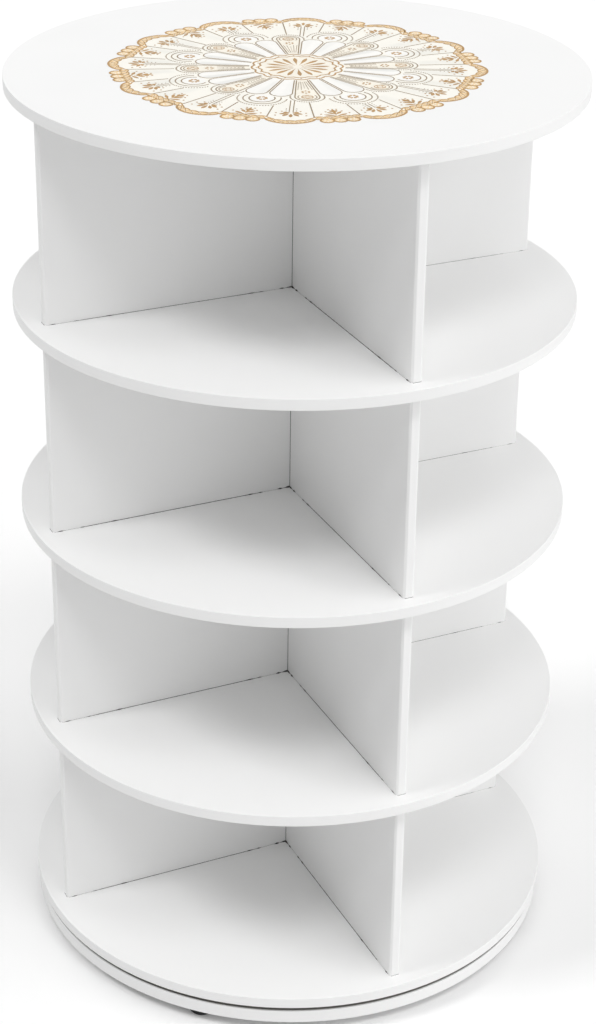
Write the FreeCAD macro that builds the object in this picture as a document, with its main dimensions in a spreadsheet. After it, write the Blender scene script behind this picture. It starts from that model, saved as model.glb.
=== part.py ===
import FreeCAD, Part
import os

import Sketcher
from FreeCAD import Placement, Rotation, Vector

# Rotating shoe tower: round boards and crosses of upright dividers on a ball-bearing turntable.
# Millimetres, +Z up. The origin is on the floor, under the axis the tower turns about.
# The long dividers lie along X and the short ones along Y.

# ---------------------------------------------------------------- driving dimensions
SIZES = [
    ("disc_diameter", 600, "round boards of the tower"),
    ("disc_thickness", 12, "round boards of the tower"),
    ("base_diameter", 596, "board that stands on the feet"),
    ("base_thickness", 15, "board that stands on the feet"),
    ("tier_height", 226, "clear height between two round boards"),
    ("divider_thickness", 12, "upright boards"),
    ("divider_setback", 17, "from the rim of a round board to a divider's end"),
    ("divider_edge_bevel", 2, "bevel of a divider's outer upright edges"),
    ("tenon_thickness", 4, "loose tenons between the boards"),
    ("tenon_width", 60, "loose tenons between the boards, along the divider"),
    ("tenon_reach", 15, "how far a tenon enters a divider's edge"),
    ("tenon_blind_reach", 8, "how far a tenon enters the top or bottom board"),
    ("tenon_circle", 320, "diameter of the circle that the tenons stand on"),
    ("centre_tenon_height", 30, "loose tenons across the long divider"),
    ("centre_tenon_setback", 60, "from a round board to the middle of such a tenon"),
    ("tenon_gap", 0.1, "glue gap round a tenon"),
    ("tenon_end_gap", 0.5, "glue gap at a tenon's end"),
    ("foot_diameter", 28, "rubber feet"),
    ("foot_pad_diameter", 24, "rubber feet, where they meet the floor"),
    ("foot_bevel_height", 2, "rubber feet, bevel round the pad"),
    ("foot_height", 15, "rubber feet"),
    ("foot_setback", 11, "from the rim of the base to a foot"),
    ("ball_diameter", 4, "bearing balls"),
    ("ball_count", 6, "bearing balls"),
    ("ball_play", 0.05, "running play between a ball and each plate"),
    ("race_diameter", 140, "circle that the ball centres run on"),
    ("plate_side", 190, "square steel plates of the turntable"),
    ("plate_corner_clip", 10, "clipped corners of the square plates"),
    ("plate_thickness", 0.95, "sheet steel of the turntable"),
    ("bead_width", 2.4, "flat top of the pressed bead outside the ball track"),
    ("track_wall_run", 0.5, "how far the walls of the ball track lean over their rise"),
    ("track_clearance", 0.2, "between a ball and the walls of its track"),
    ("collar_width", 4, "flat ring outside the bead"),
    ("rivet_diameter", 24, "barrel of the hollow pivot rivet"),
    ("rivet_wall", 1.5, "barrel of the hollow pivot rivet"),
    ("rivet_flange_width", 5, "rolled flanges of the rivet"),
    ("rivet_flange_thickness", 0.7, "rolled flanges of the rivet"),
    ("rivet_fit", 0.05, "radial running clearance in the upper plate"),
    ("rivet_lift", 0.1, "how far the tower can lift before the rivet holds it"),
    ("rivet_board_gap", 0.2, "between a rivet flange and the board behind it"),
    ("cage_width", 9, "nylon ring that spaces the balls"),
    ("cage_thickness", 0.8, "nylon ring that spaces the balls"),
    ("cage_pocket_gap", 0.15, "round a ball in its pocket"),
    ("screw_setback", 14, "from two sides of a plate to its corner screw"),
    ("screw_diameter", 3.5, "shank of a plate screw"),
    ("screw_length", 10, "shank below the head"),
    ("screw_head_diameter", 7, "pan head"),
    ("screw_head_height", 1.6, "pan head"),
    ("screw_hole_gap", 0.25, "round a shank in the steel plate"),
    ("screw_pilot_gap", 0.05, "round a shank in a board"),
    ("access_hole_diameter", 20, "hole that the upper screws are driven through"),
    ("print_diameter", 392, "printed film on the top board"),
    ("print_thickness", 0.2, "printed film on the top board"),
]

TIERS = ("bottom_tier", "lower_tier", "upper_tier", "top_tier")
SHELVES = ("lower_shelf", "middle_shelf", "upper_shelf")
ARMS = 4  # arms of a cross, screws of a plate and feet of the base
EIGHTH_TURN = 45
QUARTER_TURN = 90
HALF_TURN = 180
UP = Vector(0, 0, 1)

doc = FreeCAD.newDocument("rotating_shoe_tower")
sheet = doc.addObject("Spreadsheet::Sheet", "Sizes")
for row, (alias, value, note) in enumerate(SIZES, start=1):
    sheet.set(f"A{row}", alias)
    sheet.set(f"B{row}", str(value))
    sheet.set(f"C{row}", note)
    sheet.setAlias(f"B{row}", alias)
doc.recompute()


def size(expression):
    """The value of an expression, whose bare words are names from the sheet."""
    return float(sheet.evalExpression(bound(expression)))


def bound(expression):
    """The expression with each name from the sheet written the way other objects reach it."""
    words = {alias for alias, _, _ in SIZES}
    out, word = "", ""
    for letter in expression + " ":
        if letter.isalnum() or letter == "_":
            word += letter
            continue
        out += f"Sizes.{word}" if word in words else word
        out += letter
        word = ""
    return out.strip()


# ---------------------------------------------------------------- derived sizes
TURNTABLE_HEIGHT = "(2 * plate_thickness + 2 * ball_play + ball_diameter)"
BASE_TOP = "(foot_height + base_thickness)"
TOWER_FLOOR = f"({BASE_TOP} + {TURNTABLE_HEIGHT})"
TIER_PITCH = "(tier_height + disc_thickness)"
DIVIDER_REACH = "(disc_diameter / 2 - divider_setback)"
FOOT_CIRCLE_RADIUS = "(base_diameter / 2 - foot_setback - foot_diameter / 2)"
SCREW_OFFSET = "(plate_side / 2 - screw_setback)"
SCREW_CIRCLE_RADIUS = f"({SCREW_OFFSET} * sqrt(2))"
PRESSED_RISE = "(rivet_flange_thickness + rivet_lift + rivet_board_gap)"
WALL_OVER_BALL = f"({PRESSED_RISE} - ball_play)"
TRACK_HALF_WIDTH = f"(sqrt({WALL_OVER_BALL} * (ball_diameter - {WALL_OVER_BALL})) + track_clearance)"
TRACK_FLOOR_HALF_WIDTH = f"({TRACK_HALF_WIDTH} - track_wall_run)"
SHEET_SHIFT = f"(plate_thickness * tan(atan({PRESSED_RISE} / track_wall_run) / 2))"
COLLAR_RADIUS = f"(race_diameter / 2 + {TRACK_HALF_WIDTH} + bead_width + track_wall_run + collar_width)"
SCREW_BITE = "(screw_length - plate_thickness + screw_pilot_gap)"
MORTISE_WIDTH = "(tenon_width + 2 * tenon_gap)"
MORTISE_THICKNESS = "(tenon_thickness + 2 * tenon_gap)"
MORTISE_REACH = "(tenon_reach + tenon_end_gap)"
MORTISE_BLIND = "(tenon_blind_reach + tenon_end_gap)"
CENTRE_MORTISE_HEIGHT = "(centre_tenon_height + 2 * tenon_gap)"
CENTRE_MIDDLES = ("centre_tenon_setback", "(tier_height - centre_tenon_setback)")


# ---------------------------------------------------------------- helpers
def bind(obj, **properties):
    """Binds properties of an object to expressions; a double underscore stands for a dot."""
    for name, expression in properties.items():
        obj.setExpression(name.replace("__", "."), bound(expression))
    return obj


def place(obj, x="0", y="0", z="0", turn=0, flip=False):
    """Turns an object about Z, after half a turn about X where it is flipped, then moves it."""
    rotation = Rotation(UP, turn)
    if flip:
        rotation = rotation * Rotation(Vector(1, 0, 0), HALF_TURN)
    obj.Placement = Placement(Vector(0, 0, 0), rotation)
    return bind(obj, Placement__Base__x=x, Placement__Base__y=y, Placement__Base__z=z)


def new_body(label):
    body = doc.addObject("PartDesign::Body", label)
    body.Label = label
    return body


def origin_part(body, role):
    return next(item for item in body.Origin.OriginFeatures if item.Role == role)


def new_sketch(body, name, plane):
    sketch = body.newObject("Sketcher::SketchObject", name)
    sketch.AttachmentSupport = [(origin_part(body, plane), "")]
    sketch.MapMode = "FlatFace"
    return sketch


def add_circle(sketch, diameter):
    circle = sketch.addGeometry(Part.Circle(Vector(0, 0, 0), UP, size(diameter) / 2))
    sketch.addConstraint(Sketcher.Constraint("Coincident", circle, 3, -1, 1))
    constraint = sketch.addConstraint(Sketcher.Constraint("Diameter", circle, size(diameter)))
    sketch.setExpression(f"Constraints[{constraint}]", bound(diameter))


def add_outline(sketch, points):
    """A closed outline of straight lines; each corner is a pair of expressions."""
    corners = [Vector(size(x), size(y), 0) for x, y in points]
    lines = [
        sketch.addGeometry(Part.LineSegment(corner, corners[(index + 1) % len(corners)]))
        for index, corner in enumerate(corners)
    ]
    for index, line in enumerate(lines):
        sketch.addConstraint(Sketcher.Constraint("Coincident", lines[index - 1], 2, line, 1))
        for kind, expression in zip(("DistanceX", "DistanceY"), points[index]):
            rule = Sketcher.Constraint(kind, -1, 1, line, 1, size(expression))
            constraint = sketch.addConstraint(rule)
            sketch.setExpression(f"Constraints[{constraint}]", bound(expression))


def clipped_rectangle(left, right, half_width, clip, clip_left=True):
    """Corners of a rectangle about the X axis, with its corners cut off at 45 degrees."""
    corners = [
        (f"{right} - {clip}", f"-{half_width}"),
        (right, f"-{half_width} + {clip}"),
        (right, f"{half_width} - {clip}"),
        (f"{right} - {clip}", half_width),
    ]
    if not clip_left:
        return [*corners, (left, half_width), (left, f"-{half_width}")]
    return [
        *corners,
        (f"{left} + {clip}", half_width),
        (left, f"{half_width} - {clip}"),
        (left, f"-{half_width} + {clip}"),
        (f"{left} + {clip}", f"-{half_width}"),
    ]


def pad(body, name, sketch, length):
    feature = body.newObject("PartDesign::Pad", name)
    feature.Profile = sketch
    sketch.Visibility = False
    return bind(feature, Length=length)


def revolve(body, name, points):
    """Turns an outline of radii and heights about the body's Z axis."""
    sketch = new_sketch(body, name + "_section", "XZ_Plane")
    add_outline(sketch, points)
    feature = body.newObject("PartDesign::Revolution", name)
    feature.Profile = sketch
    feature.ReferenceAxis = (sketch, ["V_Axis"])
    feature.Angle = 2 * HALF_TURN
    return feature


def cut_box(body, name, lengths, centre):
    """Cuts a box, given by its three lengths and its centre."""
    feature = body.newObject("PartDesign::SubtractiveBox", name)
    bind(feature, Length=lengths[0], Width=lengths[1], Height=lengths[2])
    for axis, length, middle in zip("xyz", lengths, centre):
        bind(feature, **{f"Placement__Base__{axis}": f"({middle}) - ({length}) / 2"})
    return feature


def cut_cylinder(body, name, diameter, height, x="0", y="0", z="0"):
    feature = body.newObject("PartDesign::SubtractiveCylinder", name)
    bind(feature, Radius=f"({diameter}) / 2", Height=height)
    return bind(feature, Placement__Base__x=x, Placement__Base__y=y, Placement__Base__z=z)


def repeat_round(body, feature, count):
    pattern = body.newObject("PartDesign::PolarPattern", feature.Name + "_pattern")
    pattern.Originals = [feature]
    pattern.Axis = (origin_part(body, "Z_Axis"), [""])
    pattern.Angle = 2 * HALF_TURN
    bind(pattern, Occurrences=str(count))
    body.Tip = pattern
    return pattern


def group(label, members):
    """Several separate solids that make one node."""
    compound = doc.addObject("Part::Compound", label)
    compound.Label = label
    compound.Links = members
    return compound


def round_board(label, diameter, thickness):
    body = new_body(label)
    sketch = new_sketch(body, label + "_outline", "XY_Plane")
    add_circle(sketch, diameter)
    pad(body, label + "_panel", sketch, thickness)
    return body


# ---------------------------------------------------------------- base and feet
def make_base():
    """The board that stays still. The upper plate's screws are driven through its access hole."""
    body = round_board("base_board", "base_diameter", "base_thickness")
    cut_cylinder(
        body,
        "access_hole",
        "access_hole_diameter",
        "base_thickness",
        x=SCREW_CIRCLE_RADIUS,
    )
    pilot = cut_cylinder(
        body,
        "base_pilot",
        "screw_diameter + 2 * screw_pilot_gap",
        SCREW_BITE,
        x=SCREW_OFFSET,
        y=SCREW_OFFSET,
        z=f"base_thickness - {SCREW_BITE}",
    )
    repeat_round(body, pilot, ARMS)
    place(body, z="foot_height")
    return body


def make_foot(label, turn):
    """A round rubber foot, glued under the base between two arms of the cross."""
    body = new_body(label)
    revolve(
        body,
        label + "_rubber",
        [
            ("0", "0"),
            ("foot_pad_diameter / 2", "0"),
            ("foot_diameter / 2", "foot_bevel_height"),
            ("foot_diameter / 2", "foot_height"),
            ("0", "foot_height"),
        ],
    )
    x = f"{FOOT_CIRCLE_RADIUS} * cos({turn} deg)"
    y = f"{FOOT_CIRCLE_RADIUS} * sin({turn} deg)"
    return place(body, x=x, y=y)


# ---------------------------------------------------------------- turntable bearing
def plate_section(bore):
    """Section of a pressed plate: raised middle, ball track, bead and flat collar."""
    race = "race_diameter / 2"
    bead_end = f"({TRACK_HALF_WIDTH} + bead_width)"
    top = f"{PRESSED_RISE} + plate_thickness"
    face = [
        (bore, top),
        (f"{race} - {TRACK_HALF_WIDTH}", top),
        (f"{race} - {TRACK_FLOOR_HALF_WIDTH}", "plate_thickness"),
        (f"{race} + {TRACK_FLOOR_HALF_WIDTH}", "plate_thickness"),
        (f"{race} + {TRACK_HALF_WIDTH}", top),
        (f"{race} + {bead_end}", top),
        (f"{race} + {bead_end} + track_wall_run", "plate_thickness"),
        (COLLAR_RADIUS, "plate_thickness"),
    ]
    back = [
        (COLLAR_RADIUS, "0"),
        (f"{race} + {bead_end} + track_wall_run - {SHEET_SHIFT}", "0"),
        (f"{race} + {bead_end} - {SHEET_SHIFT}", PRESSED_RISE),
        (f"{race} + {TRACK_HALF_WIDTH} + {SHEET_SHIFT}", PRESSED_RISE),
        (f"{race} + {TRACK_FLOOR_HALF_WIDTH} + {SHEET_SHIFT}", "0"),
        (f"{race} - {TRACK_FLOOR_HALF_WIDTH} - {SHEET_SHIFT}", "0"),
        (f"{race} - {TRACK_HALF_WIDTH} - {SHEET_SHIFT}", PRESSED_RISE),
        (bore, PRESSED_RISE),
    ]
    return face + back


def make_plate(label, bore):
    """A square pressed plate, lying on its flat face with its track up."""
    body = new_body(label)
    revolve(body, label + "_pressing", plate_section(bore))
    sketch = new_sketch(body, label + "_outline", "XY_Plane")
    half = "plate_side / 2"
    add_outline(sketch, clipped_rectangle(f"-{half}", half, half, "plate_corner_clip"))
    add_circle(sketch, f"2 * {COLLAR_RADIUS} - collar_width")
    pad(body, label + "_flange", sketch, "plate_thickness")
    hole = cut_cylinder(
        body,
        label + "_screw_hole",
        "screw_diameter + 2 * screw_hole_gap",
        "plate_thickness",
        x=SCREW_OFFSET,
        y=SCREW_OFFSET,
    )
    repeat_round(body, hole, ARMS)
    return body


def make_rivet():
    """Hollow rivet that keeps the two plates together and centres them."""
    body = new_body("pivot_rivet")
    bore = "rivet_diameter / 2 - rivet_wall"
    barrel = "rivet_diameter / 2"
    flange = "rivet_diameter / 2 + rivet_flange_width"
    low = f"({PRESSED_RISE} - rivet_flange_thickness)"
    high = f"({TURNTABLE_HEIGHT} - {PRESSED_RISE} + rivet_lift)"
    revolve(
        body,
        "pivot_rivet_barrel",
        [
            (bore, low),
            (flange, low),
            (flange, PRESSED_RISE),
            (barrel, PRESSED_RISE),
            (barrel, high),
            (flange, high),
            (flange, f"{high} + rivet_flange_thickness"),
            (bore, f"{high} + rivet_flange_thickness"),
        ],
    )
    return place(body, z=BASE_TOP)


def make_cage():
    """Nylon ring halfway between the plates, with a pocket for each ball."""
    body = new_body("ball_cage")
    inner = "(race_diameter - cage_width) / 2"
    outer = "(race_diameter + cage_width) / 2"
    revolve(
        body,
        "ball_cage_ring",
        [(inner, "0"), (outer, "0"), (outer, "cage_thickness"), (inner, "cage_thickness")],
    )
    pocket = cut_cylinder(
        body,
        "ball_pocket",
        "ball_diameter + 2 * cage_pocket_gap",
        "cage_thickness",
        x="race_diameter / 2",
    )
    repeat_round(body, pocket, "ball_count")
    return place(body, z=f"{BASE_TOP} + ({TURNTABLE_HEIGHT} - cage_thickness) / 2")


def make_balls():
    balls = []
    count = int(size("ball_count"))
    for number in range(count):
        ball = doc.addObject("Part::Sphere", f"ball_{number + 1}")
        bind(ball, Radius="ball_diameter / 2")
        angle = f"{number} * 360 deg / ball_count"
        x = f"race_diameter / 2 * cos({angle})"
        y = f"race_diameter / 2 * sin({angle})"
        balls.append(place(ball, x=x, y=y))
    node = group("bearing_balls", balls)
    return place(node, z=f"{BASE_TOP} + {TURNTABLE_HEIGHT} / 2")


def make_screws(label):
    """Four pan-head screws, heads up, whose heads rest at height 0."""
    screws = []
    for number in range(ARMS):
        angle = f"{EIGHTH_TURN + number * QUARTER_TURN} deg"
        x = f"{SCREW_CIRCLE_RADIUS} * cos({angle})"
        y = f"{SCREW_CIRCLE_RADIUS} * sin({angle})"
        head = doc.addObject("Part::Cylinder", f"{label}_head_{number + 1}")
        bind(head, Radius="screw_head_diameter / 2", Height="screw_head_height")
        place(head, x=x, y=y)
        shank = doc.addObject("Part::Cylinder", f"{label}_shank_{number + 1}")
        bind(shank, Radius="screw_diameter / 2", Height="screw_length")
        place(shank, x=x, y=y, z="-screw_length")
        screw = doc.addObject("Part::MultiFuse", f"{label}_{number + 1}")
        screw.Shapes = [head, shank]
        screws.append(screw)
    return group(label, screws)


def make_turntable():
    """Two pressed plates, the upper one turned by an eighth so that its corners are free."""
    lower = make_plate("lower_plate", "rivet_diameter / 2")
    place(lower, z=BASE_TOP)
    upper = make_plate("upper_plate", "rivet_diameter / 2 + rivet_fit")
    place(upper, z=TOWER_FLOOR, turn=EIGHTH_TURN, flip=True)
    lower_screws = make_screws("lower_plate_screws")
    place(lower_screws, z=f"{BASE_TOP} + plate_thickness")
    upper_screws = make_screws("upper_plate_screws")
    place(upper_screws, z=f"{TOWER_FLOOR} - plate_thickness", turn=EIGHTH_TURN, flip=True)
    return [lower, upper, lower_screws, upper_screws, make_rivet(), make_cage(), make_balls()]


# ---------------------------------------------------------------- round boards
def mortise_round_board(body, low, high):
    """Cuts the mortise for each arm of the cross, from one height to another."""
    mortise = cut_box(
        body,
        body.Label + "_mortise",
        (MORTISE_WIDTH, MORTISE_THICKNESS, f"({high}) - ({low})"),
        ("tenon_circle / 2", "0", f"(({high}) + ({low})) / 2"),
    )
    repeat_round(body, mortise, ARMS)


def board_level(number):
    """Height of the underside of a round board of the tower, counted from the bottom one."""
    return f"{TOWER_FLOOR} + {number} * {TIER_PITCH}"


def make_bottom_board():
    body = round_board("bottom_board", "disc_diameter", "disc_thickness")
    bite = cut_cylinder(
        body,
        "bottom_pilot",
        "screw_diameter + 2 * screw_pilot_gap",
        SCREW_BITE,
        x=SCREW_CIRCLE_RADIUS,
    )
    repeat_round(body, bite, ARMS)
    mortise_round_board(body, f"disc_thickness - {MORTISE_BLIND}", "disc_thickness")
    return place(body, z=board_level(0))


def make_shelf(label, level):
    body = round_board(label, "disc_diameter", "disc_thickness")
    mortise_round_board(body, "0", "disc_thickness")
    return place(body, z=board_level(level))


def make_top_board():
    body = round_board("top_board", "disc_diameter", "disc_thickness")
    mortise_round_board(body, "0", MORTISE_BLIND)
    return place(body, z=board_level(len(TIERS)))


def make_top_print():
    """The printed film on the top board."""
    film = doc.addObject("Part::Cylinder", "top_print")
    film.Label = "top_print"
    bind(film, Radius="print_diameter / 2", Height="print_thickness")
    return place(film, z=f"{board_level(len(TIERS))} + disc_thickness")


# ---------------------------------------------------------------- dividers
def make_divider(label, start, clip_start):
    """An upright board along X, from start to the divider's reach."""
    body = new_body(label)
    sketch = new_sketch(body, label + "_outline", "XY_Plane")
    half = "divider_thickness / 2"
    outline = clipped_rectangle(start, DIVIDER_REACH, half, "divider_edge_bevel", clip_start)
    add_outline(sketch, outline)
    pad(body, label + "_panel", sketch, "tier_height")
    return body


def mortise_divider_edges(body, sides):
    """Cuts the mortises in the foot and the head of a divider, on each side of the axis given."""
    for side in sides:
        for end, middle in (("foot", f"{MORTISE_REACH} / 2"), ("head", f"tier_height - {MORTISE_REACH} / 2")):
            cut_box(
                body,
                f"{body.Label}_{end}_mortise",
                (MORTISE_WIDTH, MORTISE_THICKNESS, MORTISE_REACH),
                (f"{side} * tenon_circle / 2", "0", middle),
            )


def make_long_divider(tier, level):
    body = make_divider(f"{tier}_long_divider", f"-{DIVIDER_REACH}", True)
    mortise_divider_edges(body, (-1, 1))
    for middle in CENTRE_MIDDLES:
        cut_box(
            body,
            f"{tier}_centre_mortise",
            (MORTISE_THICKNESS, "divider_thickness", CENTRE_MORTISE_HEIGHT),
            ("0", "0", middle),
        )
    return place(body, z=f"{board_level(level)} + disc_thickness")


def make_short_divider(tier, side, turn, level):
    """A divider from the face of the long one outwards."""
    body = make_divider(f"{tier}_{side}_divider", "divider_thickness / 2", False)
    mortise_divider_edges(body, (1,))
    for middle in CENTRE_MIDDLES:
        cut_box(
            body,
            f"{tier}_{side}_mortise",
            (MORTISE_REACH, MORTISE_THICKNESS, CENTRE_MORTISE_HEIGHT),
            (f"(divider_thickness + {MORTISE_REACH}) / 2", "0", middle),
        )
    return place(body, z=f"{board_level(level)} + disc_thickness", turn=turn)


# ---------------------------------------------------------------- loose tenons
def arm_box(name, lengths, reach, turn):
    """A box centred on an arm of the cross, from its inner end at the reach given."""
    box = doc.addObject("Part::Box", name)
    bind(box, Length=lengths[0], Width=lengths[1], Height=lengths[2])
    x = f"({reach}) * cos({turn} deg) + ({lengths[1]}) / 2 * sin({turn} deg)"
    y = f"({reach}) * sin({turn} deg) - ({lengths[1]}) / 2 * cos({turn} deg)"
    return place(box, x=x, y=y, turn=turn)


def make_board_tenons(label, level, low, high):
    """One tenon in each arm, from one height above the board's underside to another."""
    lengths = ("tenon_width", "tenon_thickness", f"({high}) - ({low})")
    tenons = [
        arm_box(f"{label}_{arm + 1}", lengths, "(tenon_circle - tenon_width) / 2", arm * QUARTER_TURN)
        for arm in range(ARMS)
    ]
    return place(group(label, tenons), z=f"{board_level(level)} + ({low})")


def make_centre_tenons(tier, level):
    """Tenons that pass through the long divider into both short ones."""
    label = f"{tier}_centre_tenons"
    lengths = ("divider_thickness + 2 * tenon_reach", "tenon_thickness", "centre_tenon_height")
    tenons = []
    for number, middle in enumerate(CENTRE_MIDDLES, start=1):
        start = "-(divider_thickness / 2 + tenon_reach)"
        tenon = arm_box(f"{label}_{number}", lengths, start, QUARTER_TURN)
        bind(tenon, Placement__Base__z=f"{middle} - centre_tenon_height / 2")
        tenons.append(tenon)
    return place(group(label, tenons), z=f"{board_level(level)} + disc_thickness")


# ---------------------------------------------------------------- the whole tower
def make_feet():
    corners = ("rear_right", "rear_left", "front_left", "front_right")
    return [
        make_foot(f"{corner}_foot", EIGHTH_TURN + number * QUARTER_TURN)
        for number, corner in enumerate(corners)
    ]


def make_tower():
    nodes = [make_bottom_board(), make_top_board(), make_top_print()]
    nodes.append(
        make_board_tenons(
            "bottom_board_tenons",
            0,
            "disc_thickness - tenon_blind_reach",
            "disc_thickness + tenon_reach",
        )
    )
    for level, shelf in enumerate(SHELVES, start=1):
        nodes.append(make_shelf(shelf, level))
        nodes.append(
            make_board_tenons(f"{shelf}_tenons", level, "-tenon_reach", "disc_thickness + tenon_reach")
        )
    nodes.append(
        make_board_tenons("top_board_tenons", len(TIERS), "-tenon_reach", "tenon_blind_reach")
    )
    for level, tier in enumerate(TIERS):
        nodes.append(make_long_divider(tier, level))
        nodes.append(make_short_divider(tier, "front", -QUARTER_TURN, level))
        nodes.append(make_short_divider(tier, "rear", QUARTER_TURN, level))
        nodes.append(make_centre_tenons(tier, level))
    return nodes


NODES = [make_base(), *make_feet(), *make_turntable(), *make_tower()]
doc.recompute()

for obj in doc.Objects:
    if {"Invalid", "Error"} & set(obj.State):
        raise RuntimeError(f"{obj.Label} failed: {obj.State}")
for node in NODES:
    if node.Shape.isNull() or not node.Shape.isValid():
        raise RuntimeError(f"{node.Label} has no valid shape")

os.makedirs("parts", exist_ok=True)
for node in NODES:
    node.Shape.exportStep(f"parts/{node.Label}.step")
    print(f"{node.Label}: {len(node.Shape.Solids)} solids, {node.Shape.Volume / 1000:.2f} cm3")
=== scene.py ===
import cmath
import functools
import math
import random

import bmesh
import bpy
from mathutils import Matrix, Vector


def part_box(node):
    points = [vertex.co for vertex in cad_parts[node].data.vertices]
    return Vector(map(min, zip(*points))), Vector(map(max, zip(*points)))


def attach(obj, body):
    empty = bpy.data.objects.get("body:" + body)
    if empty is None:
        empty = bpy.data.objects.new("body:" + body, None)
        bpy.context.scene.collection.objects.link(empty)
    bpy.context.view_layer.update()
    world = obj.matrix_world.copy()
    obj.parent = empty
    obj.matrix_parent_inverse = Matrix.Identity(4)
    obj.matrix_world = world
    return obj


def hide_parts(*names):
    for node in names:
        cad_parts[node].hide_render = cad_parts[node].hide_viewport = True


bl_info = {
    "name": "Rotating Shoe Tower",
    "version": (1, 0, 0),
    "blender": (4, 5, 0),
    "location": "3D View > Sidebar > Shoe Tower",
    "description": "Finishes for a rotating shoe tower: lacquered boards, lace print, turntable and studio",
    "category": "Object",
}

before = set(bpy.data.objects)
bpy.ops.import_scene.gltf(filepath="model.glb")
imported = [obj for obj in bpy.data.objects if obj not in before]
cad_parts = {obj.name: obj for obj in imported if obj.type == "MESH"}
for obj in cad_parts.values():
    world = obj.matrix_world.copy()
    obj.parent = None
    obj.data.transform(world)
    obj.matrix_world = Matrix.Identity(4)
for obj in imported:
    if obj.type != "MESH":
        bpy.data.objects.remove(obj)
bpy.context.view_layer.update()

# ---------------------------------------------------------------- names and sizes from the frame
MM = 0.001
TIERS = ("bottom_tier", "lower_tier", "upper_tier", "top_tier")
SHELVES = ("lower_shelf", "middle_shelf", "upper_shelf")
ROUND_BOARDS = ("bottom_board", *SHELVES, "top_board")
DIVIDER_SIDES = ("long", "front", "rear")
FEET = ("rear_right_foot", "rear_left_foot", "front_left_foot", "front_right_foot")
TENONS = (
    *(f"{board}_tenons" for board in ROUND_BOARDS),
    *(f"{tier}_centre_tenons" for tier in TIERS),
)
HALF_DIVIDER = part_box("top_tier_long_divider")[1].y
DIVIDER_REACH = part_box("top_tier_long_divider")[1].x
PRINT_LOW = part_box("top_print")[0].z
PRINT_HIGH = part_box("top_print")[1].z
QUARTER = math.pi / 2
SHARPEST = math.radians(35)


# ---------------------------------------------------------------- settings
def amount(name, default, description, **limits):
    return bpy.props.FloatProperty(name=name, description=description, default=default, **limits)


def length(name, default, description, low=0.0, high=0.1):
    limits = {"min": low, "max": high, "precision": 5, "subtype": "DISTANCE", "unit": "LENGTH"}
    return amount(name, default, description, **limits)


def share(name, default, description):
    return amount(name, default, description, min=0.0, max=1.0, subtype="FACTOR")


def angle(name, degrees, description):
    return amount(name, math.radians(degrees), description, subtype="ANGLE", unit="ROTATION")


def strength(name, default, description):
    return amount(name, default, description, min=0.0)


def colour(name, default, description):
    return bpy.props.FloatVectorProperty(
        name=name, description=description, default=default, size=3, min=0.0, max=1.0, subtype="COLOR"
    )


def section(name, description, kind):
    return bpy.props.PointerProperty(name=name, description=description, type=kind)


class BoardSettings(bpy.types.PropertyGroup):
    lacquer: colour("Lacquer", (0.90, 0.90, 0.897), "Colour of the boards' white lacquer")
    band: colour("Edge band", (0.872, 0.872, 0.869), "Colour of the band glued round the boards' edges")
    # painted shade: the dark grey bare board of the hidden faces stands for the shade inside the turntable
    # gap
    bare_board_shade: colour("Bare board", (0.33, 0.32, 0.30), "Board without lacquer, on faces that never show")
    gloss: share("Roughness", 0.42, "Roughness of the lacquer")
    round_arris: length("Round boards' arris", 0.45 * MM, "Eased edge of a round board", 0.0, 4 * MM)
    divider_arris: length("Dividers' arris", 0.4 * MM, "Eased edge of a divider", 0.0, 2 * MM)
    band_width: length("Band thickness", 0.8 * MM, "Thickness of the edge band", 0.0, 3 * MM)


class JointSettings(bpy.types.PropertyGroup):
    gap: length("Joint gap", 0.42 * MM, "Usual width of the dark gap at a divider's foot", 0.0, 1 * MM)
    head_gap: length("Head gap", 0.16 * MM, "Width of the gap at a divider's head", 0.0, 1 * MM)
    centre_gap: length("Centre gap", 0.4 * MM, "Width of the gap where the dividers cross", 0.0, 1 * MM)
    # painted shadow: one arm's outer end has a wider dark strip for the shadow under the board above it
    head_end_gap: length("Head end gap", 1.4 * MM, "Open gap over the outer end of one arm", 0.0, 3 * MM)
    # painted shade: the gaps' strips are dark to stand for the shade inside the joints
    shade: colour("Gap colour", (0.045, 0.042, 0.04), "Colour inside the gaps")


class LaceSettings(bpy.types.PropertyGroup):
    gold: colour("Gold", (0.45, 0.24, 0.05), "Gold of the leaves and the border's lines")
    bronze: colour("Bronze", (0.235, 0.145, 0.05), "Darker gold of the fine lines")
    peach: colour("Peach", (0.91, 0.69, 0.40), "Fill of the border")
    pale_gold: colour("Pale gold", (0.95, 0.90, 0.79), "Tint of the veined petals and the middle")
    ground: colour("Ground", (0.95, 0.925, 0.85), "Cream of the lace ground")
    white: colour("White", (0.95, 0.938, 0.905), "White of the blank petals and the beads")
    fold: colour("Fold", (0.66, 0.67, 0.64), "Soft shade along the folds of the lace")
    line: length("Fine line", 1.15 * MM, "Width of the fine lines", 0.1 * MM, 3 * MM)
    bold: length("Bold line", 2.2 * MM, "Width of the border's lines", 0.1 * MM, 4 * MM)
    dot: length("Dot", 0.9 * MM, "Radius of a dot", 0.1 * MM, 2 * MM)
    turn: angle("Turn", -19.4, "Turn of the print about the tower's axis")


class TurntableSettings(bpy.types.PropertyGroup):
    zinc: colour("Zinc", (0.60, 0.61, 0.63), "Zinc-plated sheet")
    fastener: colour("Screws and rivet", (0.66, 0.65, 0.62), "Zinc-plated screws and rivet")
    steel: colour("Ball steel", (0.74, 0.74, 0.76), "Polished balls")
    nylon: colour("Cage nylon", (0.83, 0.81, 0.74), "Nylon ring between the plates")


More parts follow.
